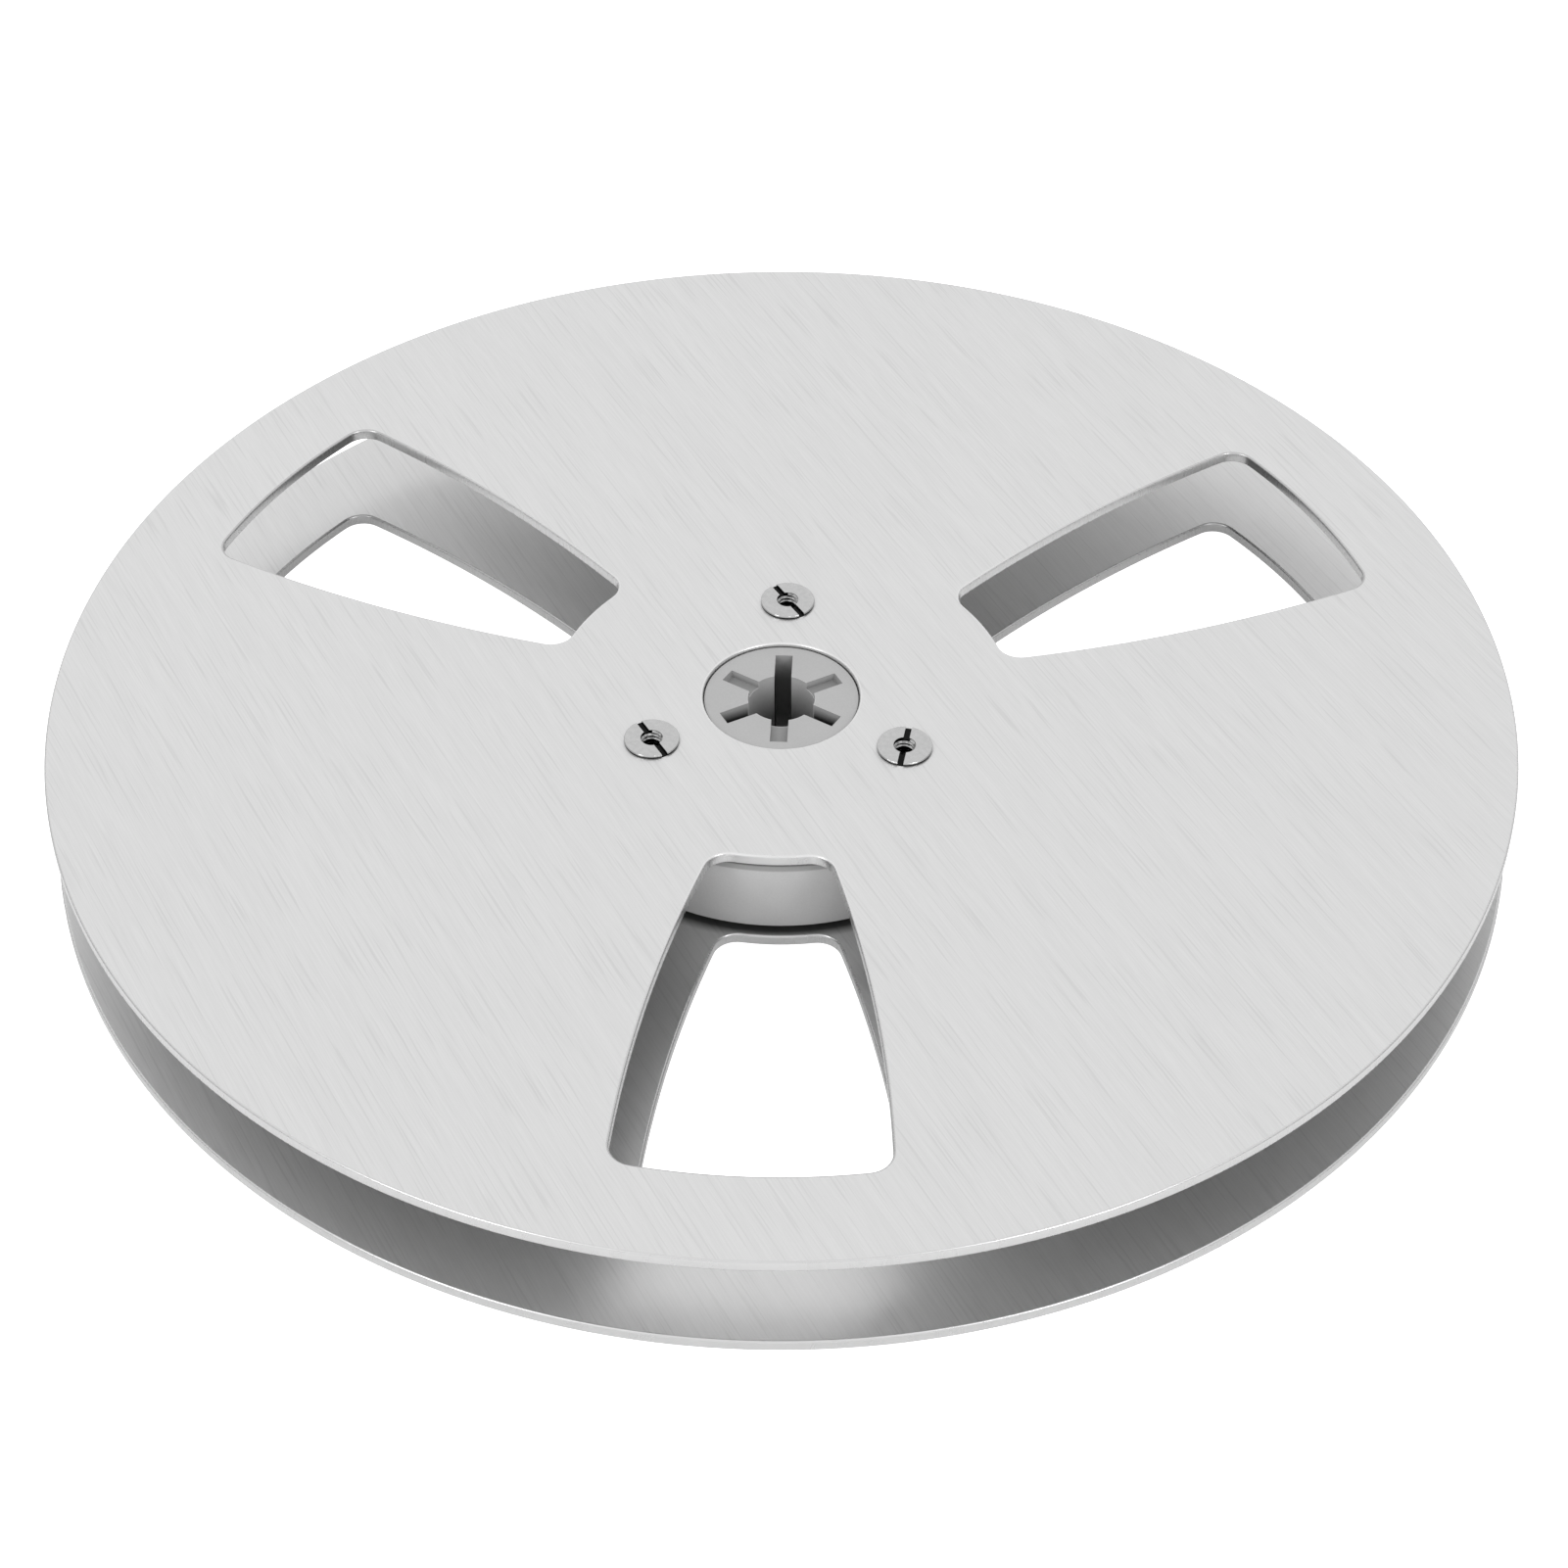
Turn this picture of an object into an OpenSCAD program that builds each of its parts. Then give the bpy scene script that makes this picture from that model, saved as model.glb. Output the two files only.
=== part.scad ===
// Empty seven inch open-reel tape spool: two windowed aluminium flanges held on a moulded hub
// by three slotted binding posts, each closed from below by its screw.
// The spool stands on the screw heads, with the spindle axis along +Z through the origin.

/* [Flanges] */
// Outside diameter of both flanges
flange_d = 177.8; // [170:0.1:185]
// Thickness of a flange
flange_t = 1.5; // [1:0.1:2.5]
// Clear height between the flanges
flange_gap = 11.7; // [8:0.1:14]
// Diameter of the centre hole around the hub's boss
centre_hole_d = 19.1; // [18.8:0.1:20]
// Bevel on the rim of a flange
rim_bevel = 0.25; // [0.1:0.05:0.4]

/* [Windows] */
// Radius of a window's inner end
window_inner_r = 28.3; // [27.5:0.1:32]
// Radius of a window's outer end
window_outer_r = 77; // [70:0.1:82]
// Width of a window between its corners at the inner end
window_inner_w = 14; // [10:0.5:18]
// Width of a window between its corners at the outer end
window_outer_w = 31; // [24:0.5:36]
// How far each side of a window bows outwards from a straight line
window_bow = 1.7; // [1:0.1:3]
// Radius of a window's corners
window_corner_r = 2.9; // [1.5:0.1:4]
// Turn of the lower flange's windows against the upper flange's, in degrees
window_turn = 1.6; // [0:0.1:3]

/* [Hub] */
// Diameter of the drum that the tape winds on
drum_d = 54.4; // [50:0.1:55]
// Bevel on both edges of the drum
drum_bevel = 0.3; // [0.2:0.1:1]
// Height of the relief between each end of the drum's wall and its flange
relief_h = 0.45; // [0.2:0.05:0.8]
// Depth of the relief behind the drum's wall
relief_depth = 1; // [0.5:0.1:2]
// Diameter of the boss that fills each flange's centre hole
boss_d = 18.8; // [18:0.1:18.8]
// Depth of the boss's face below the outer face of its flange
boss_recess = 0.5; // [0.2:0.1:1]
// Diameter of the spindle bore
bore_d = 8.2; // [8:0.05:8.5]
// Width of the spindle's keyways and of the shallow slots between them
key_w = 2.1; // [1.5:0.1:2.1]
// Radius that the keyways and the shallow slots reach
key_r = 7.9; // [6:0.1:8.4]
// Depth of the shallow slots
shallow_depth = 1; // [0.4:0.1:2]

/* [Fasteners] */
// Radius of the circle that the binding posts stand on
post_circle_r = 17.55; // [14.5:0.05:20]
// Diameter of the heads of posts and screws
head_d = 6.7; // [6:0.1:8]
// Height of a head above its flange
head_h = 0.4; // [0.4:0.05:1]
// Rounding of a head's outer edge
head_round = 0.15; // [0.1:0.05:0.3]
// Width of a screwdriver slot
slot_w = 0.75; // [0.5:0.05:0.9]
// Depth of a post's slot, which may reach into its barrel
post_slot_depth = 0.35; // [0.3:0.05:1.1]
// Depth of a screw's slot
screw_slot_depth = 0.3; // [0.2:0.05:0.35]
// Outside diameter of a post's barrel
barrel_d = 4.2; // [3.6:0.1:4.4]
// Diameter of the threaded hole through a post
thread_d = 2.7; // [2.4:0.1:3]
// Depth of the screw's tip below the top of the post's head
tip_depth = 1.5; // [1.2:0.1:4]

/* [Hidden] */
$fn = 96;

POST_COUNT = 3;

// Cutters run this far past the faces that they open
PAST = 1;
// The long side arcs of a window need more steps than a small hole
BOW_STEPS = 720;

// Directions from the spindle axis, in degrees
WINDOW_ANGLES = [270, 30, 150];
POST_ANGLES = [90, 210, 330];
SHALLOW_ANGLES = [30, 150, 270];
// Where the screwdriver left each slot
POST_SLOT_ANGLES = [-56, -58, 82];
SCREW_SLOT_ANGLES = [20, 75, -40];

// Heights above the surface that the screw heads stand on
lower_z = head_h;
drum_z = lower_z + flange_t;
upper_z = drum_z + flange_gap;
top_z = upper_z + flange_t;
boss_low_z = lower_z + boss_recess;
boss_high_z = top_z - boss_recess;

// A post's barrel stops short of the screw's head, inside the lower flange
BARREL_SHORT = 0.5;
// Radial clearance of a barrel in the hub, and of a screw in its post
BARREL_PLAY = 0.1;
THREAD_PLAY = 0.05;
// The screw's tip is bevelled to find the thread
TIP_BEVEL = 0.3;

flange_r = flange_d / 2;
drum_r = drum_d / 2;
barrel_hole_r = barrel_d / 2 + BARREL_PLAY;
screw_r = thread_d / 2 - THREAD_PLAY;

// The side of a window is an arc between two corners, bowed outwards from its chord.
side_from = [window_inner_r, window_inner_w / 2];
side_to = [window_outer_r, window_outer_w / 2];
side_chord = norm(side_to - side_from);
side_along = (side_to - side_from) / side_chord;
side_out = [-side_along.y, side_along.x];
side_r = (side_chord * side_chord / 4 + window_bow * window_bow) / (2 * window_bow);
side_centre = (side_from + side_to) / 2 + side_out * (window_bow - side_r);

// The point with y > 0 at distance ra from the axis and rb from the centre c.
function meeting(ra, c, rb) =
    let (
        span = norm(c),
        along = (ra * ra - rb * rb + span * span) / (2 * span),
        across = sqrt(ra * ra - along * along),
        u = c / span
    )
    u * along + [-u.y, u.x] * across;

outer_corner = meeting(window_outer_r - window_corner_r, side_centre, side_r - window_corner_r);
inner_corner = meeting(window_inner_r + window_corner_r, side_centre, side_r - window_corner_r);

// Unit vectors from a corner's centre to where its arc meets the end and the side of the window.
function to_end(c, sign) = sign * c / norm(c);
function to_side(c) = (c - side_centre) / norm(c - side_centre);

// The sharp corner beyond a corner's arc
module corner_wedge(c, sign) {
    reach = 2 * window_corner_r;
    polygon([
        c,
        c + reach * to_end(c, sign),
        c + reach * (to_end(c, sign) + to_side(c)),
        c + reach * to_side(c)
    ]);
}

// One window, centred on +X
module window_outline() {
    difference() {
        circle(r = window_outer_r, $fn = BOW_STEPS);
        circle(r = window_inner_r, $fn = BOW_STEPS);
        window_outside();
        for (flip = [0, 1]) {
            mirror([0, flip]) {
                corner_wedge(outer_corner, 1);
                corner_wedge(inner_corner, -1);
            }
        }
    }
    for (flip = [0, 1]) {
        mirror([0, flip]) {
            translate(outer_corner) circle(r = window_corner_r);
            translate(inner_corner) circle(r = window_corner_r);
        }
    }
}

// Everything beyond the two bowed sides
module window_outside() {
    difference() {
        square(4 * window_outer_r, center = true);
        intersection() {
            translate(side_centre) circle(r = side_r, $fn = BOW_STEPS);
            mirror([0, 1]) translate(side_centre) circle(r = side_r, $fn = BOW_STEPS);
        }
    }
}

// A flange from z = 0 up, with its windows turned by an angle
module flange(turn) {
    difference() {
        rotate_extrude($fn = BOW_STEPS) polygon([
            [0, 0],
            [flange_r - rim_bevel, 0],
            [flange_r, rim_bevel],
            [flange_r, flange_t - rim_bevel],
            [flange_r - rim_bevel, flange_t],
            [0, flange_t]
        ]);
        translate([0, 0, -PAST]) {
            cylinder(d = centre_hole_d, h = flange_t + 2 * PAST);
            for (a = POST_ANGLES) {
                rotate(a) translate([post_circle_r, 0]) cylinder(r = barrel_hole_r, h = flange_t + 2 * PAST);
            }
            for (a = WINDOW_ANGLES) {
                rotate(a + turn) linear_extrude(flange_t + 2 * PAST) window_outline();
            }
        }
    }
}

module top_flange() {
    color("gainsboro") translate([0, 0, upper_z]) flange(0);
}

module bottom_flange() {
    color("gainsboro") translate([0, 0, lower_z]) flange(window_turn);
}

// Radial slots from the spindle axis, each between two heights
module radial_slots(angles, low_z, high_z) {
    for (a = angles) {
        rotate(a) translate([0, -key_w / 2, low_z]) cube([key_r, key_w, high_z - low_z]);
    }
}

module hub() {
    color("darkgray") difference() {
        rotate_extrude() polygon([
            [bore_d / 2, boss_low_z],
            [boss_d / 2, boss_low_z],
            [boss_d / 2, drum_z],
            [drum_r - relief_depth, drum_z],
            [drum_r - relief_depth, drum_z + relief_h],
            [drum_r - drum_bevel, drum_z + relief_h],
            [drum_r, drum_z + relief_h + drum_bevel],
            [drum_r, upper_z - relief_h - drum_bevel],
            [drum_r - drum_bevel, upper_z - relief_h],
            [drum_r - relief_depth, upper_z - relief_h],
            [drum_r - relief_depth, upper_z],
            [boss_d / 2, upper_z],
            [boss_d / 2, boss_high_z],
            [bore_d / 2, boss_high_z]
        ]);
        radial_slots(POST_ANGLES, boss_low_z - PAST, boss_high_z + PAST);
        radial_slots(SHALLOW_ANGLES, boss_low_z - PAST, boss_low_z + shallow_depth);
        radial_slots(SHALLOW_ANGLES, boss_high_z - shallow_depth, boss_high_z + PAST);
        for (a = POST_ANGLES) {
            rotate(a) translate([post_circle_r, 0, drum_z - PAST])
                cylinder(r = barrel_hole_r, h = flange_gap + 2 * PAST);
        }
    }
}

// A flat disc head from z = 0 up, with a rounded top edge
module head() {
    rotate_extrude() {
        square([head_d / 2, head_h - head_round]);
        square([head_d / 2 - head_round, head_h]);
        translate([head_d / 2 - head_round, head_h - head_round]) circle(r = head_round, $fn = 32);
    }
}

// The screwdriver slot across a head that starts at z = 0
module driver_slot(angle, depth) {
    rotate(angle) translate([-head_d, -slot_w / 2, head_h - depth]) cube([2 * head_d, slot_w, depth + PAST]);
}

module binding_post(i) {
    barrel_h = top_z - lower_z - BARREL_SHORT;
    color("silver") rotate(POST_ANGLES[i]) translate([post_circle_r, 0, top_z]) difference() {
        union() {
            head();
            translate([0, 0, -barrel_h]) cylinder(d = barrel_d, h = barrel_h);
        }
        translate([0, 0, -barrel_h - PAST]) cylinder(d = thread_d, h = barrel_h + head_h + 2 * PAST);
        driver_slot(POST_SLOT_ANGLES[i] - POST_ANGLES[i], post_slot_depth);
    }
}

module binding_screw(i) {
    tip_z = top_z + head_h - tip_depth;
    color("silver") rotate(POST_ANGLES[i]) translate([post_circle_r, 0, 0]) {
        translate([0, 0, lower_z]) mirror([0, 0, 1]) difference() {
            head();
            driver_slot(SCREW_SLOT_ANGLES[i], screw_slot_depth);
        }
        rotate_extrude() polygon([
            [0, lower_z],
            [screw_r, lower_z],
            [screw_r, tip_z - TIP_BEVEL],
            [screw_r - TIP_BEVEL, tip_z],
            [0, tip_z]
        ]);
    }
}

top_flange();
bottom_flange();
hub();
for (i = [0:POST_COUNT - 1]) {
    binding_post(i);
    binding_screw(i);
}
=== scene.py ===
"""Looks of an empty seven inch open-reel tape spool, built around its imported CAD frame.

Everything is in metres, in the frame of the CAD part: +Z is the spindle axis, and the spool
stands on its screw heads at z = 0.
"""
from math import atan2, cos, pi, radians, sin, sqrt

import bmesh
import bpy
from mathutils import Matrix, Vector


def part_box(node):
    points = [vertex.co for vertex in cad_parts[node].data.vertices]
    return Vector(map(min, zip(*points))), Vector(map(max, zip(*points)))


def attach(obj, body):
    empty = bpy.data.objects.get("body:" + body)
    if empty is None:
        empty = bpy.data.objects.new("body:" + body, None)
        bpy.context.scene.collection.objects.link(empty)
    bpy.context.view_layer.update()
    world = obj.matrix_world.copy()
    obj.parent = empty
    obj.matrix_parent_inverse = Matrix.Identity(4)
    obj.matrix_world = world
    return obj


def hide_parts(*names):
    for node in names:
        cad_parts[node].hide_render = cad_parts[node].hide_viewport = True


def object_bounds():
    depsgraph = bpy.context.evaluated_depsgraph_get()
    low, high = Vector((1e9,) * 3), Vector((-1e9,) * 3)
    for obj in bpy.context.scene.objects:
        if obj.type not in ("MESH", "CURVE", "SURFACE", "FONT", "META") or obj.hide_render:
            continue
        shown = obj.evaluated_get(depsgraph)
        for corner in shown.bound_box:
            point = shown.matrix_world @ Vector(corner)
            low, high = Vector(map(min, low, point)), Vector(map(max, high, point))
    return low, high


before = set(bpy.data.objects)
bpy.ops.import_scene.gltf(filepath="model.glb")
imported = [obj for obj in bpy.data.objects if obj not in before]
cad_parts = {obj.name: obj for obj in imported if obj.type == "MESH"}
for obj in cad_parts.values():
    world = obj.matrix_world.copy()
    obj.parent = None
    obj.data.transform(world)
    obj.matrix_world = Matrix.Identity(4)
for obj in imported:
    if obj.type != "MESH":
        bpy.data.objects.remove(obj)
CAD_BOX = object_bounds()
ROOT = "root"
MM = 0.001

# ---------------------------------------------------------------- sizes
# Heights and the outside diameter come from the CAD nodes' boxes.
top_low, top_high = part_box("top_flange")
bottom_low, bottom_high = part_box("bottom_flange")
FLANGE_R = top_high.x

# The windows and holes of both flanges, as in the CAD part
CENTRE_HOLE_R = 9.55 * MM
POST_CIRCLE_R = 17.55 * MM
POST_HOLE_R = 2.2 * MM
POST_ANGLES = (90, 210, 330)
WINDOW_ANGLES = (270, 30, 150)
WINDOW_TURN = 1.6
WINDOW_INNER_R = 28.3 * MM
WINDOW_OUTER_R = 77.0 * MM
WINDOW_INNER_W = 14.0 * MM
WINDOW_OUTER_W = 31.0 * MM
WINDOW_BOW = 1.7 * MM
WINDOW_CORNER_R = 2.9 * MM

# Rounding of every edge of a flange, in this many steps
EDGE_ROUND = 0.28 * MM
EDGE_STEPS = 5
# Segments round the rim, the centre hole and a post's hole, and the step along a window's arcs
RIM_SEGMENTS = 720
HOLE_SEGMENTS = 96
POST_HOLE_SEGMENTS = 48
ARC_STEP = 0.5 * MM

# Middle height and half height of the whole spool, half the gap between the flanges, and the hub
MID_Z = (CAD_BOX[0][2] + CAD_BOX[1][2]) / 2
HALF_Z = (CAD_BOX[1][2] - CAD_BOX[0][2]) / 2
GAP_HALF = (top_low.z - bottom_high.z) / 2
BOSS_HALF = (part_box("hub")[1].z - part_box("hub")[0].z) / 2
BOSS_R = 9.4 * MM
BORE_R = 4.1 * MM
KEY_R = 7.9 * MM
# Rounding of the hub's edges, in this many steps, where they turn by more than this angle
HUB_ROUND = 0.15 * MM
HUB_ROUND_STEPS = 3
HUB_ROUND_ANGLE = 35

# The threads in the posts' holes, above the screws' tips and clear of the driver's slots
HEAD_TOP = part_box("binding_post_1")[1].z
SCREW_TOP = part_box("binding_screw_1")[1].z
THREAD_R = 1.35 * MM
THREAD_CREST_R = 1.12 * MM
THREAD_SUNK = 0.02 * MM
THREAD_PITCH = 0.5 * MM
THREAD_STEPS = 36
POST_SLOT_ANGLES = (-56, -58, 82)
SLOT_HALF = 0.4 * MM
SLOT_FLOOR = HEAD_TOP - 0.35 * MM
# In pitches: the ridge's half height at its root and at its crest, and the room that it leaves
# over the screw, below the head's top and below a slot
ROOT_HALF, CREST_HALF = 0.42, 0.06
ROOM_OVER_SCREW, ROOM_BELOW_TOP, ROOM_BELOW_SLOT = 0.25, 0.5, 0.2

# ---------------------------------------------------------------- looks
# Direction of the brushing in plan, in degrees from +X
BRUSH_ANGLE = -60.0
# Share of the brushed faces' shine that is metallic; the rest is scattered by the anodising
METAL_SHARE = 0.84
METAL_ANISOTROPY = 0.85
# Lines in noise, as streaks() takes them: spacing, length, detail, seed, and any angle of their own
FINE_LINES = (0.22 * MM, 7 * MM, 3, 3.1)
COARSE_LINES = (1.1 * MM, 26 * MM, 2, 11.7)
SCRATCHES = (0.3 * MM, 14 * MM, 0, 27.3)
CUT_LINES = (0.25 * MM, 6 * MM, 2, 5.5, 0.0)
LINE_ROUGHNESS = 0.6
# Plain noise, as noise() takes it: scale per metre, detail
GRAIN = (4500.0, 3.0)
CLOUD = (160.0, 2.0)
NICKEL_WEAR = (1800.0, 4.0)
THREAD_WEAR = (2600.0, 3.0)
# Height of a bump, which its strength scales down
BUMP_DEPTH = 0.02 * MM
METAL_BUMP, PLASTIC_BUMP = 0.1, 0.15

# From here down to the heads' painted shade, each value is what ramp() takes after its factor: the
# values at both ends and, unless the factor is noise in its middle range, the factor at both ends.

# What the noises do to tone and roughness
FINE_TONE, COARSE_TONE, SCRATCH_TONE = (0.685, 0.745), (0.985, 1.015), (1.0, 0.93, 0.64, 0.72)
GRAIN_TONE, CLOUD_TONE = (0.97, 1.03), (0.47, 0.50)
NICKEL_TONE, THREAD_TONE = (0.50, 0.56), (0.10, 0.60)
METAL_ROUGHNESS, CUT_ROUGHNESS, PLASTIC_ROUGHNESS = (0.31, 0.39), (0.26, 0.30), (0.40, 0.50)
NICKEL_ROUGHNESS, THREAD_ROUGHNESS = (0.08, 0.16), (0.10, 0.25)

# Painted shade round the foot of the drum, by reach from the axis, and only on the faces in the gap
FOOT_SHADE_TONE = (0.2, 1.0, 27.4 * MM, 28.8 * MM)
OUTER_FACE = (0.0, 1.0, GAP_HALF + 0.2 * MM, GAP_HALF + 0.3 * MM)

# Painted shade in the hub, by height from the middle: the bore darkens slowly, and the keyways' sides fast
BOSS_TONE = 0.86
BORE_SHADE_TONE = (0.25, 1.06, BOSS_HALF - 6.5 * MM, BOSS_HALF - 0.5 * MM)
KEY_SIDE_SHADE_TONE = (0.04, BOSS_TONE, BOSS_HALF - 1.9 * MM, BOSS_HALF - 0.4 * MM)
KEY_END_SHADE_TONE = (0.3, BOSS_TONE, BOSS_HALF - 4 * MM, BOSS_HALF - 0.5 * MM)
# Reach at which a keyway's side gives way to its end, the bore to the boss, and the boss to the drum
SIDE_TO_END = (KEY_R - 0.08 * MM, KEY_R - 0.02 * MM)
BORE_TO_BOSS = (BORE_R + 0.02 * MM, BORE_R + 0.1 * MM)
BOSS_TO_DRUM = (BOSS_R + 1 * MM, BOSS_R + 2 * MM)

# The drum's wall, by height: painted light that makes it paler upwards, then a painted shadow in two
# steps where the upper flange keeps light off it
DRUM_SHADE_Z = top_low.z - 2.1 * MM
DRUM_PAINTED_LIGHT = (0.92, 1.20, bottom_high.z, DRUM_SHADE_Z)
DRUM_SHADE = (1.0, 0.62, DRUM_SHADE_Z, DRUM_SHADE_Z + 0.25 * MM)
DRUM_DEEP_SHADE = (1.0, 0.3, DRUM_SHADE_Z + 0.8 * MM, DRUM_SHADE_Z + 1.1 * MM)

# Painted shade on the heads below their rounded edges and in their slots, by height from the middle
HEAD_SHADE_TONE = (0.02, 1.0, HALF_Z - 0.24 * MM, HALF_Z - 0.14 * MM)

# Edges of the flanges: their tone and how far their lines vary it, and what a painted dark
# reflection brings a window's edge down to at its outer end, between these reaches from the axis
# The lower flange's cut edges are darker than the upper's: a painted dark reflection
RIM_TONE, UPPER_CUT_TONE, LOWER_CUT_TONE = 0.65, 0.76, 0.58
CUT_LOW, CUT_HIGH = 0.98, 1.02
UPPER_END_TONE, LOWER_END_TONE = 0.7, 0.75
END_FROM, END_TO = WINDOW_INNER_R + 3 * MM, WINDOW_OUTER_R - 1 * MM

# ---------------------------------------------------------------- light and camera
# Light of the tent: dark and bright strength, and where between them a direction turns bright.
# The tent is white above, behind and in front, and darker low down on both sides.
TENT_DARK, TENT_LIGHT = 0.3, 1.01
TENT_FROM, TENT_TO = 0.1, 0.75
TENT_ENDS = 0.6
# Two soft boxes stand to the left and right of the camera, at azimuths measured from -Y
BOX_AZIMUTHS = (-45, 45)
BOX_ELEVATION = 40
BOX_DISTANCE, BOX_SIZE = 1.0, 0.25
BOX_POWER = 1.2
# The table glows white where the camera sees it, and much less onto the spool; below the hub its glow is
# off, a painted shadow
FLOOR_HALF = 3.0
FLOOR_TONE = 0.85
FLOOR_ROUGHNESS = 0.9
FLOOR_GLOW, FLOOR_BOUNCE = 1.0, 0.18
GLOW_FROM, GLOW_TO = 20 * MM, 27 * MM
# The camera's place, its azimuth from -Y, elevation and roll in degrees, and its lens and sensor
# in millimetres
CAMERA_AT = (15.63 * MM, -334.27 * MM, 298.15 * MM + top_high.z)
CAMERA_AZIMUTH, CAMERA_ELEVATION, CAMERA_ROLL = 2.626, 43.086, -0.121
CAMERA_LENS, CAMERA_SENSOR = 84.46, 36
CAMERA_NEAR = 0.01


# ---------------------------------------------------------------- outlines
def circle_outline(radius, segments, centre=(0.0, 0.0)):
    """Points and outward normals of a circle, anticlockwise."""
    rows = []
    for i in range(segments):
        a = 2 * pi * i / segments
        normal = Vector((cos(a), sin(a)))
        rows.append((Vector(centre) + radius * normal, normal))
    return rows


def arc(centre, radius, start, end, sign=1):
    """Points on an arc with their normals, which point away from the centre where sign is 1."""
    steps = max(4, round(abs(end - start) * radius / ARC_STEP))
    rows = []
    for i in range(steps + 1):
        a = start + (end - start) * i / steps
        normal = Vector((cos(a), sin(a)))
        rows.append((centre + radius * normal, sign * normal))
    return rows


def meeting(near, centre, far):
    """The point with y > 0 at distance near from the origin and far from the centre."""
    span = centre.length
    along = (near * near - far * far + span * span) / (2 * span)
    across = sqrt(near * near - along * along)
    unit = centre / span
    return unit * along + Vector((-unit.y, unit.x)) * across


def bearing(v):
    """The angle of a direction in plan."""
    return atan2(v.y, v.x)


def window_half():
    """The half of a window above its middle line: from the outer end, round to the inner end."""
    low = Vector((WINDOW_INNER_R, WINDOW_INNER_W / 2))
    high = Vector((WINDOW_OUTER_R, WINDOW_OUTER_W / 2))
    chord = (high - low).length
    along = (high - low) / chord
    outwards = Vector((-along.y, along.x))
    side_r = (chord * chord / 4 + WINDOW_BOW * WINDOW_BOW) / (2 * WINDOW_BOW)
    side = (low + high) / 2 + outwards * (WINDOW_BOW - side_r)
    c = WINDOW_CORNER_R
    outer = meeting(WINDOW_OUTER_R - c, side, side_r - c)
    inner = meeting(WINDOW_INNER_R + c, side, side_r - c)
    origin = Vector((0.0, 0.0))
    rows = arc(origin, WINDOW_OUTER_R, 0.0, bearing(outer))
    rows += arc(outer, c, bearing(outer), bearing(outer - side))[1:]
    rows += arc(side, side_r, bearing(outer - side), bearing(inner - side))[1:]
    rows += arc(inner, c, bearing(inner - side), bearing(-inner) + 2 * pi * (inner.y > 0))[1:]
    rows += arc(origin, WINDOW_INNER_R, bearing(inner), 0.0, -1)[1:]
    return rows


def window_outline(angle):
    """Points and outward normals of a whole window, turned to its place on a flange."""
    half = window_half()
    other = [(Vector((p.x, -p.y)), Vector((n.x, -n.y))) for p, n in reversed(half[1:-1])]
    turn = Matrix.Rotation(radians(angle), 2)
    return [(turn @ p, turn @ n) for p, n in half + other]


def post_centre(angle):
    """The place in plan of the post at this angle."""
    return POST_CIRCLE_R * Vector((cos(radians(angle)), sin(radians(angle))))


# ---------------------------------------------------------------- meshes
def finish_mesh(name, bm, materials):
    """Makes a named piece from a bmesh, riding on the spool, and returns its object."""
    mesh = bpy.data.meshes.new(name)
    bm.to_mesh(mesh)
    bm.free()
    for material in materials:
        mesh.materials.append(material)
    piece = bpy.data.objects.new(name, mesh)
    bpy.context.scene.collection.objects.link(piece)
    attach(piece, ROOT)
    return piece


def edge_rings(outline, sign, low, high):
    """Rings of points down one wall of a plate, with both of its edges rounded."""
    levels = []
    for k in range(EDGE_STEPS + 1):
        a = pi / 2 * (1 - k / EDGE_STEPS)
        levels.append((EDGE_ROUND * (1 - cos(a)), high - EDGE_ROUND * (1 - sin(a))))
    levels += [(inset, low + high - z) for inset, z in reversed(levels)]
    rings = []
    for inset, z in levels:
        rings.append([(p - sign * inset * n).to_3d() + Vector((0, 0, z)) for p, n in outline])
    return rings


def lay_brush_uv(bm):
    """A plan UV map whose U runs across the brushing, which is the way its highlights stretch."""
    layer = bm.loops.layers.uv.new("brush")
    across = radians(BRUSH_ANGLE + 90)
    u, v = Vector((cos(across), sin(across))), Vector((-sin(across), cos(across)))
    for face in bm.faces:
        for loop in face.loops:
            p = loop.vert.co.to_2d()
            loop[layer].uv = (p.dot(u), p.dot(v))


def plate(name, low, high, turn, materials):
    """One flange: a flat disc with a centre hole, three post holes and three windows.

    The materials are those of its faces, of its rim, and of the edges of its holes.
    """
    outlines = [(circle_outline(FLANGE_R, RIM_SEGMENTS), 1)]
    outlines.append((circle_outline(CENTRE_HOLE_R, HOLE_SEGMENTS), -1))
    for a in POST_ANGLES:
        outlines.append((circle_outline(POST_HOLE_R, POST_HOLE_SEGMENTS, post_centre(a)), -1))
    outlines += [(window_outline(a + turn), -1) for a in WINDOW_ANGLES]

    bm = bmesh.new()
    top_edges, bottom_edges = [], []
    for outline, sign in outlines:
        rings = [[bm.verts.new(p) for p in ring] for ring in edge_rings(outline, sign, low, high)]
        count = len(outline)
        for upper, lower in zip(rings, rings[1:]):
            for i in range(count):
                j = (i + 1) % count
                face = bm.faces.new((upper[i], upper[j], lower[j], lower[i]))
                face.smooth = True
                face.material_index = 1 if sign > 0 else 2
        top_edges += [bm.edges.get((rings[0][i], rings[0][i - 1])) for i in range(count)]
        bottom_edges += [bm.edges.get((rings[-1][i], rings[-1][i - 1])) for i in range(count)]
    bmesh.ops.triangle_fill(bm, edges=top_edges, use_beauty=True)
    bmesh.ops.triangle_fill(bm, edges=bottom_edges, use_beauty=True)
    bmesh.ops.recalc_face_normals(bm, faces=bm.faces)
    lay_brush_uv(bm)
    return finish_mesh(name, bm, materials)


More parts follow.
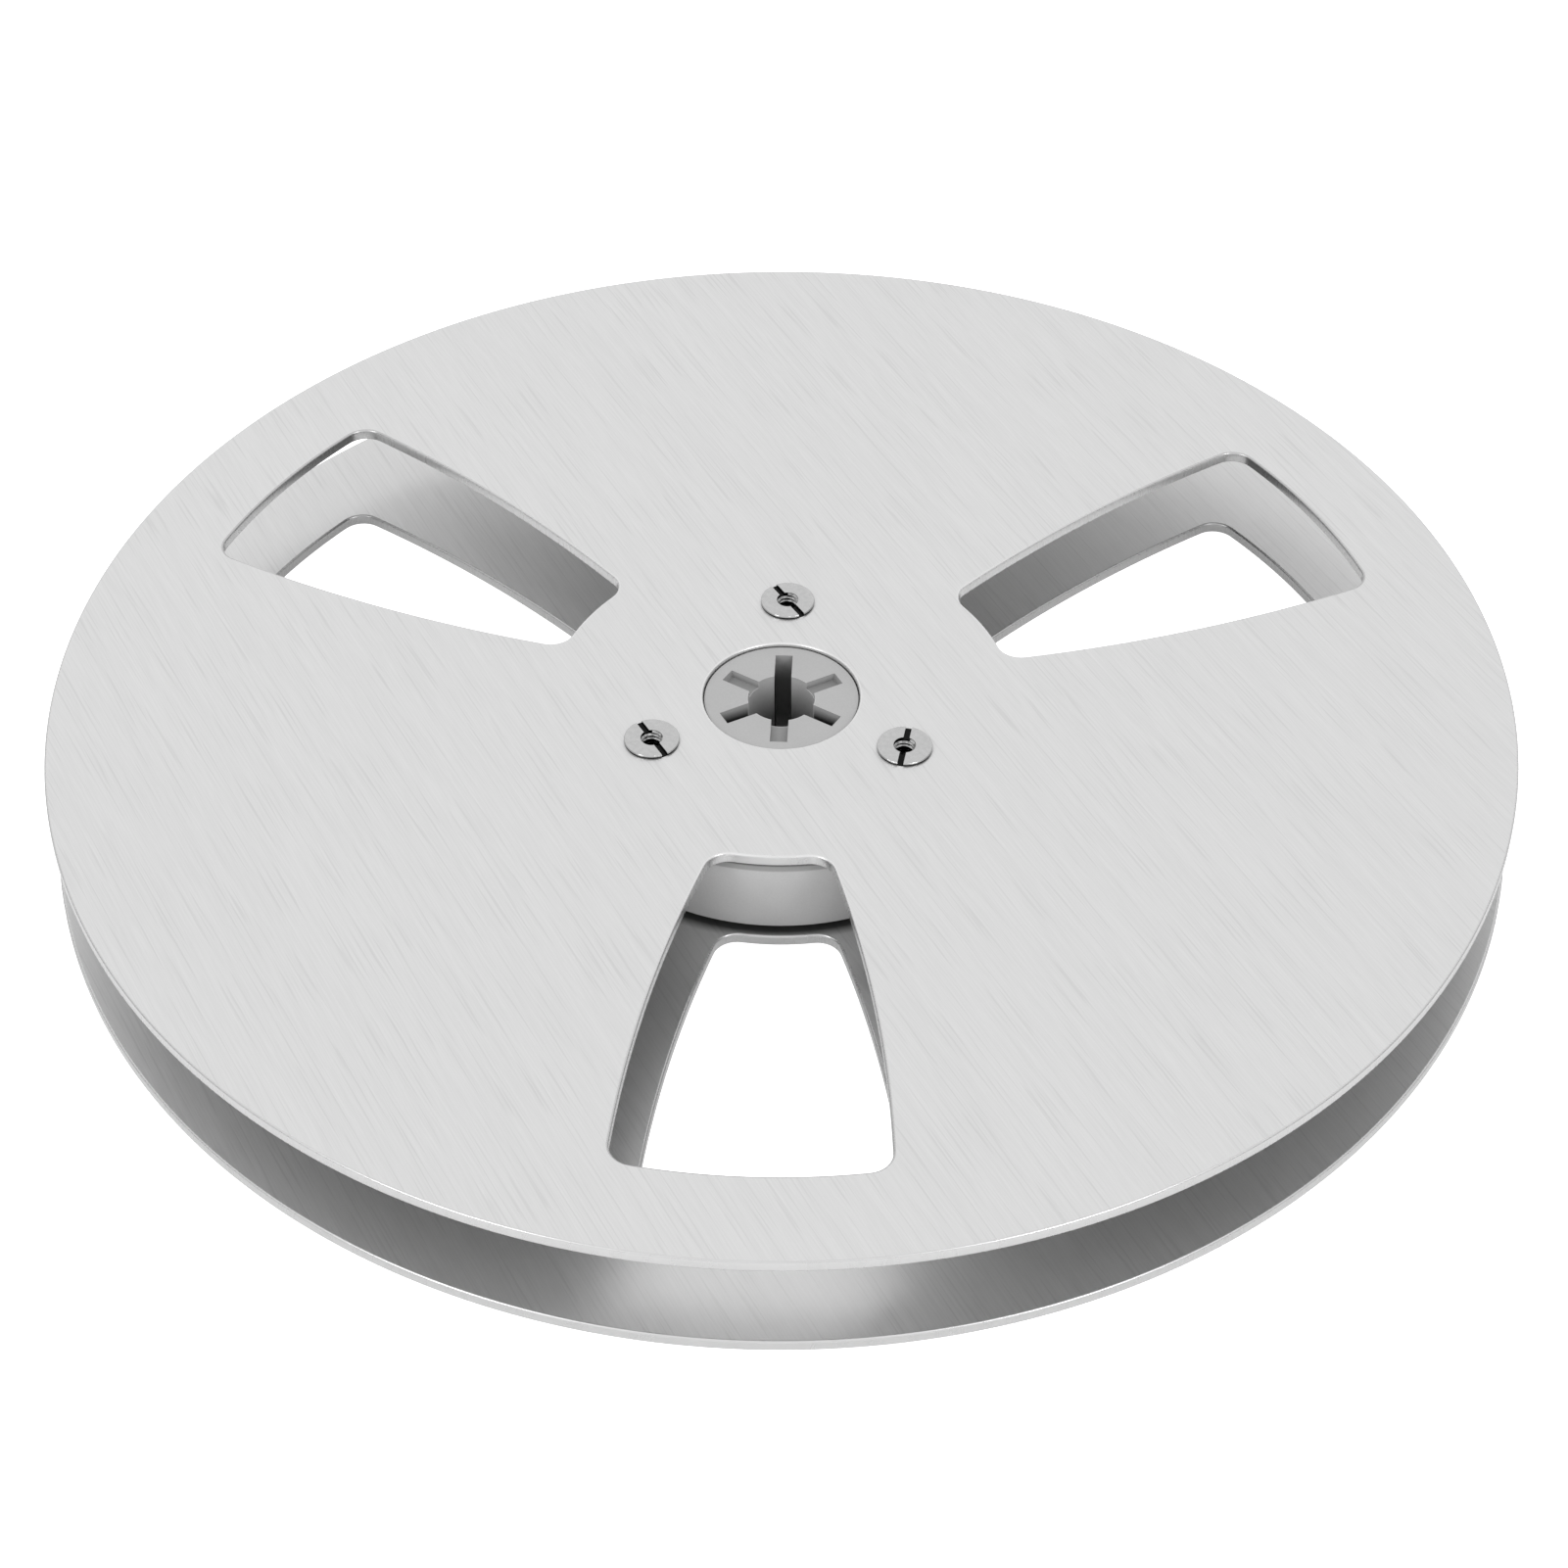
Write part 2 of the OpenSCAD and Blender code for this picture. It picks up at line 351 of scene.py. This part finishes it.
def thread_runs(centre, slot_angle):
    """Runs of four-point rows across the ridge of a thread, broken where the driver's slot cuts it."""
    across = Vector((-sin(radians(slot_angle)), cos(radians(slot_angle))))
    low = SCREW_TOP + ROOM_OVER_SCREW * THREAD_PITCH
    high = HEAD_TOP - ROOM_BELOW_TOP * THREAD_PITCH
    slot_z = SLOT_FLOOR - ROOM_BELOW_SLOT * THREAD_PITCH
    root_half = ROOT_HALF * THREAD_PITCH
    crest_half = CREST_HALF * THREAD_PITCH
    turns = (high - low) / THREAD_PITCH
    runs = [[]]
    for i in range(round(turns * THREAD_STEPS) + 1):
        a = 2 * pi * i / THREAD_STEPS
        z = low + THREAD_PITCH * i / THREAD_STEPS
        out = Vector((cos(a), sin(a)))
        if z > slot_z and abs(out.dot(across)) * THREAD_R < SLOT_HALF:
            runs.append([])
            continue
        root = centre + out * (THREAD_R + THREAD_SUNK)
        crest = centre + out * THREAD_CREST_R
        runs[-1].append([(*root, z - root_half), (*crest, z - crest_half),
                         (*crest, z + crest_half), (*root, z + root_half)])
    return [run for run in runs if len(run) > 2]


def thread(name, centre, slot_angle):
    """A ridge that winds down the wall of a post's hole."""
    bm = bmesh.new()
    for run in thread_runs(centre, slot_angle):
        rows = [[bm.verts.new(p) for p in row] for row in run]
        for near, far in zip(rows, rows[1:]):
            for k in range(4):
                bm.faces.new((near[k], near[k - 1], far[k - 1], far[k]))
        bm.faces.new(rows[0])
        bm.faces.new(reversed(rows[-1]))
    bmesh.ops.recalc_face_normals(bm, faces=bm.faces)
    return finish_mesh(name, bm, [THREAD])


def round_edges(piece):
    """Rounds the sharp edges of the hub with a modifier."""
    bevel = piece.modifiers.new("edges", "BEVEL")
    bevel.width = HUB_ROUND
    bevel.segments = HUB_ROUND_STEPS
    bevel.limit_method = "ANGLE"
    bevel.angle_limit = radians(HUB_ROUND_ANGLE)


# ---------------------------------------------------------------- nodes
def new_material(name):
    """An empty node material: returns it with its node tree and its shader."""
    material = bpy.data.materials.new(name)
    material.use_nodes = True
    tree = material.node_tree
    shader = tree.nodes["Principled BSDF"]
    return material, tree, shader


def node(tree, kind, inputs=None, **settings):
    """Adds a node; each of its inputs is given as a value, or as a socket to link from."""
    made = tree.nodes.new(kind)
    for key, value in settings.items():
        setattr(made, key, value)
    for key, value in (inputs or {}).items():
        if isinstance(value, bpy.types.NodeSocket):
            tree.links.new(value, made.inputs[key])
        else:
            made.inputs[key].default_value = value
    return made


def object_place(tree):
    """The shaded point, in the object's own frame."""
    return node(tree, "ShaderNodeTexCoord").outputs["Object"]


def noise(tree, place, scale, detail):
    made = node(tree, "ShaderNodeTexNoise", {"Vector": place, "Scale": scale, "Detail": detail})
    return made.outputs["Fac"]


def streaks(tree, spacing, length, detail, seed, angle=BRUSH_ANGLE):
    """Noise drawn out into lines, with their spacing and length in metres."""
    turned = node(tree, "ShaderNodeVectorRotate", {"Vector": object_place(tree), "Angle": -radians(angle)},
                  rotation_type="Z_AXIS")
    scaled = node(tree, "ShaderNodeMapping", {"Vector": turned.outputs[0], "Location": (seed, seed, 0),
                                              "Scale": (1 / length, 1 / spacing, 1 / length)})
    return node(tree, "ShaderNodeTexNoise", {"Vector": scaled.outputs[0], "Scale": 1.0, "Detail": detail,
                                             "Roughness": LINE_ROUGHNESS}).outputs["Fac"]


def ramp(tree, factor, low, high, start=0.3, end=0.7):
    """Maps a factor between start and end to a value or a socket between low and high."""
    return node(tree, "ShaderNodeMapRange", {"Value": factor, "From Min": start, "From Max": end,
                                             "To Min": low, "To Max": high}).outputs["Result"]


def grey(tree, value):
    made = node(tree, "ShaderNodeCombineColor", {"Red": value, "Green": value, "Blue": value})
    return made.outputs["Color"]


def multiply(tree, a, b):
    return node(tree, "ShaderNodeMath", {0: a, 1: b}, operation="MULTIPLY").outputs[0]


def height(tree, place):
    return node(tree, "ShaderNodeSeparateXYZ", {"Vector": place}).outputs["Z"]


def height_from_middle(tree, place):
    """How far a point lies above or below the middle of the spool."""
    z = height(tree, place)
    above = node(tree, "ShaderNodeMath", {0: z, 1: MID_Z}, operation="SUBTRACT").outputs[0]
    return node(tree, "ShaderNodeMath", {0: above}, operation="ABSOLUTE").outputs[0]


def reach_from_axis(tree, place):
    """How far a point lies from the spindle axis."""
    flat = node(tree, "ShaderNodeVectorMath", {0: place, 1: (1, 1, 0)}, operation="MULTIPLY").outputs[0]
    return node(tree, "ShaderNodeVectorMath", {0: flat}, operation="LENGTH").outputs["Value"]


def set_surface(tree, shader, tone, roughness):
    """Links a grey tone and a roughness to a shader."""
    tree.links.new(grey(tree, tone), shader.inputs["Base Color"])
    tree.links.new(roughness, shader.inputs["Roughness"])


def set_bump(tree, shader, relief, strength):
    """Links a bump that follows a noise to a shader."""
    bump = node(tree, "ShaderNodeBump", {"Height": relief, "Strength": strength, "Distance": BUMP_DEPTH})
    tree.links.new(bump.outputs["Normal"], shader.inputs["Normal"])


# ---------------------------------------------------------------- materials
def foot_shade(tree):
    """Painted shade that darkens the flanges' inner faces round the foot of the drum."""
    place = object_place(tree)
    near = ramp(tree, reach_from_axis(tree, place), *FOOT_SHADE_TONE)
    outer_face = ramp(tree, height_from_middle(tree, place), *OUTER_FACE)
    return node(tree, "ShaderNodeMath", {0: near, 1: outer_face}, operation="MAXIMUM").outputs[0]


def brushed_metal():
    """Straight-brushed aluminium: fine lines in its colour, gloss and bump."""
    material, tree, shader = new_material("brushed_aluminium")
    fine = streaks(tree, *FINE_LINES)
    coarse = streaks(tree, *COARSE_LINES)
    scratch = streaks(tree, *SCRATCHES)
    tone = multiply(tree, ramp(tree, fine, *FINE_TONE), ramp(tree, coarse, *COARSE_TONE))
    tone = multiply(tree, tone, ramp(tree, scratch, *SCRATCH_TONE))
    # Painted shade round the foot of the drum
    tone = multiply(tree, tone, foot_shade(tree))
    set_surface(tree, shader, tone, ramp(tree, fine, *METAL_ROUGHNESS))
    shader.inputs["Metallic"].default_value = METAL_SHARE
    shader.inputs["Anisotropic"].default_value = METAL_ANISOTROPY
    tangent = node(tree, "ShaderNodeTangent", direction_type="UV_MAP", uv_map="brush")
    tree.links.new(tangent.outputs["Tangent"], shader.inputs["Tangent"])
    set_bump(tree, shader, fine, METAL_BUMP)
    return material


def edge_metal(name, tone, end_tone=1.0):
    """An edge of a flange: the same metal, smoother, with faint lines; a window's edge may darken outwards
    with a painted dark reflection.
    """
    material, tree, shader = new_material(name)
    lines = streaks(tree, *CUT_LINES)
    # Painted dark reflection that darkens a window's edge towards its outer end
    end = ramp(tree, reach_from_axis(tree, object_place(tree)), 1.0, end_tone, END_FROM, END_TO)
    colour = multiply(tree, end, ramp(tree, lines, CUT_LOW * tone, CUT_HIGH * tone))
    set_surface(tree, shader, colour, ramp(tree, lines, *CUT_ROUGHNESS))
    shader.inputs["Metallic"].default_value = 1.0
    return material


def drum_shade(tree, place):
    """Painted light makes the drum's wall paler upwards, and a painted shadow darker again under the upper
    flange.
    """
    z = height(tree, place)
    drum = ramp(tree, z, *DRUM_PAINTED_LIGHT)
    drum = multiply(tree, drum, ramp(tree, z, *DRUM_SHADE))
    return multiply(tree, drum, ramp(tree, z, *DRUM_DEEP_SHADE))


def hub_shade(tree, place):
    """The drum's painted light and shade, and painted shade that darkens the bore and the keyways with
    depth.
    """
    depth = height_from_middle(tree, place)
    reach = reach_from_axis(tree, place)
    key_side = ramp(tree, depth, *KEY_SIDE_SHADE_TONE)
    key_end = ramp(tree, depth, *KEY_END_SHADE_TONE)
    keyway = ramp(tree, reach, key_side, key_end, *SIDE_TO_END)
    boss = ramp(tree, reach, ramp(tree, depth, *BORE_SHADE_TONE), keyway, *BORE_TO_BOSS)
    return ramp(tree, reach, boss, drum_shade(tree, place), *BOSS_TO_DRUM)


def satin_plastic():
    """The hub's moulded grey plastic, with a fine moulded grain."""
    material, tree, shader = new_material("hub_plastic")
    place = object_place(tree)
    grain = noise(tree, place, *GRAIN)
    cloud = noise(tree, place, *CLOUD)
    tone = multiply(tree, ramp(tree, cloud, *CLOUD_TONE), ramp(tree, grain, *GRAIN_TONE))
    # Painted light and shade on the drum, and painted shade in the bore and the keyways
    tone = multiply(tree, tone, hub_shade(tree, place))
    set_surface(tree, shader, tone, ramp(tree, cloud, *PLASTIC_ROUGHNESS))
    set_bump(tree, shader, grain, PLASTIC_BUMP)
    return material


def polished_nickel():
    """Nickel plate on the turned heads: bright on their faces, with painted shade down their sides and in
    their slots.
    """
    material, tree, shader = new_material("nickel")
    place = object_place(tree)
    wear = noise(tree, place, *NICKEL_WEAR)
    # Painted shade down the heads' sides and in their slots
    head_shade = ramp(tree, height_from_middle(tree, place), *HEAD_SHADE_TONE)
    tone = multiply(tree, ramp(tree, wear, *NICKEL_TONE), head_shade)
    set_surface(tree, shader, tone, ramp(tree, wear, *NICKEL_ROUGHNESS))
    shader.inputs["Metallic"].default_value = 1.0
    return material


def thread_metal():
    """The cut thread inside the posts, brighter than the painted shade around it."""
    material, tree, shader = new_material("thread")
    wear = noise(tree, object_place(tree), *THREAD_WEAR)
    set_surface(tree, shader, ramp(tree, wear, *THREAD_TONE), ramp(tree, wear, *THREAD_ROUGHNESS))
    shader.inputs["Metallic"].default_value = 1.0
    return material


def pale_table():
    """A pale table top whose glow is bright to the camera, faint to the spool, and off below the hub as a
    painted shadow.
    """
    material, tree, shader = new_material("pale_table")
    shader.inputs["Base Color"].default_value = (FLOOR_TONE, FLOOR_TONE, FLOOR_TONE, 1)
    shader.inputs["Roughness"].default_value = FLOOR_ROUGHNESS
    shader.inputs["Emission Color"].default_value = (1, 1, 1, 1)
    place = object_place(tree)
    reach = node(tree, "ShaderNodeVectorMath", {0: place}, operation="LENGTH").outputs["Value"]
    # Painted shadow: the glow is off below the hub
    outside_hub_shadow = ramp(tree, reach, 0.0, 1.0, GLOW_FROM, GLOW_TO)
    seen = node(tree, "ShaderNodeLightPath").outputs["Is Camera Ray"]
    glow = multiply(tree, outside_hub_shadow, ramp(tree, seen, FLOOR_BOUNCE, FLOOR_GLOW, 0.0, 1.0))
    tree.links.new(glow, shader.inputs["Emission Strength"])
    return material


# ---------------------------------------------------------------- stage
def look_camera():
    """The camera, at the angle, distance and lens that frame the whole spool from above its front."""
    azimuth, elevation, roll = radians(CAMERA_AZIMUTH), radians(CAMERA_ELEVATION), radians(CAMERA_ROLL)
    back = Vector((sin(azimuth) * cos(elevation), -cos(azimuth) * cos(elevation), sin(elevation)))
    level = Vector((cos(azimuth), sin(azimuth), 0))
    upright = back.cross(level)
    right = cos(roll) * level + sin(roll) * upright
    up = -sin(roll) * level + cos(roll) * upright
    turn = Matrix((right, up, back)).transposed().to_4x4()
    data = bpy.data.cameras.new("camera")
    data.sensor_width = CAMERA_SENSOR
    data.lens = CAMERA_LENS
    data.clip_start = CAMERA_NEAR
    camera = bpy.data.objects.new("camera", data)
    camera.matrix_world = Matrix.Translation(Vector(CAMERA_AT)) @ turn
    bpy.context.scene.collection.objects.link(camera)
    bpy.context.scene.camera = camera


def tent():
    """The white tent round the spool, which is the world's light."""
    world = bpy.data.worlds.new("studio")
    bpy.context.scene.world = world
    world.use_nodes = True
    tree = world.node_tree
    direction = node(tree, "ShaderNodeTexCoord").outputs["Generated"]
    along = node(tree, "ShaderNodeSeparateXYZ", {"Vector": direction}).outputs
    ends = multiply(tree, multiply(tree, along["Y"], along["Y"]), TENT_ENDS)
    rise = node(tree, "ShaderNodeMath", {0: along["Z"], 1: ends}, operation="ADD").outputs[0]
    light = ramp(tree, rise, TENT_DARK, TENT_LIGHT, TENT_FROM, TENT_TO)
    tree.links.new(light, tree.nodes["Background"].inputs["Strength"])
    tree.nodes["Background"].inputs["Color"].default_value = (1, 1, 1, 1)
    bpy.context.scene.view_settings.view_transform = "Standard"


def soft_box(azimuth):
    """A square lamp beside the camera that faces the spool."""
    data = bpy.data.lights.new("soft_box", "AREA")
    data.size = BOX_SIZE
    data.energy = BOX_POWER
    light = bpy.data.objects.new("soft_box", data)
    flat = cos(radians(BOX_ELEVATION))
    towards = Vector((sin(azimuth) * flat, -cos(azimuth) * flat, sin(radians(BOX_ELEVATION))))
    light.location = BOX_DISTANCE * towards
    light.rotation_euler = towards.to_track_quat("Z", "Y").to_euler()
    bpy.context.scene.collection.objects.link(light)


def table():
    """The table that the spool stands on."""
    bm = bmesh.new()
    bmesh.ops.create_grid(bm, x_segments=1, y_segments=1, size=FLOOR_HALF)
    mesh = bpy.data.meshes.new("floor")
    bm.to_mesh(mesh)
    bm.free()
    mesh.materials.append(pale_table())
    floor = bpy.data.objects.new("floor", mesh)
    bpy.context.scene.collection.objects.link(floor)


# ---------------------------------------------------------------- the spool
look_camera()
tent()
for azimuth in BOX_AZIMUTHS:
    soft_box(radians(azimuth))
table()

METAL = brushed_metal()
RIM = edge_metal("turned_rim", RIM_TONE)
UPPER_CUT = edge_metal("upper_cut_edge", UPPER_CUT_TONE, UPPER_END_TONE)
# The lower flange's cut edges: a darker copy, with a painted dark reflection
LOWER_CUT = edge_metal("lower_cut_edge", LOWER_CUT_TONE, LOWER_END_TONE)
PLASTIC = satin_plastic()
NICKEL = polished_nickel()
THREAD = thread_metal()

upper_skin, lower_skin = [METAL, RIM, UPPER_CUT], [METAL, RIM, LOWER_CUT]
upper = plate("upper_plate", top_low.z, top_high.z, 0, upper_skin)
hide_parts("top_flange")
lower = plate("lower_plate", bottom_low.z, bottom_high.z, WINDOW_TURN, lower_skin)
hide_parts("bottom_flange")

for name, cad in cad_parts.items():
    if name in ("top_flange", "bottom_flange"):
        continue
    cad.data.materials.clear()
    cad.data.materials.append(PLASTIC if name == "hub" else NICKEL)
    if name == "hub":
        round_edges(cad)

for i, angle in enumerate(POST_ANGLES):
    thread(f"post_thread_{i + 1}", post_centre(angle), POST_SLOT_ANGLES[i])
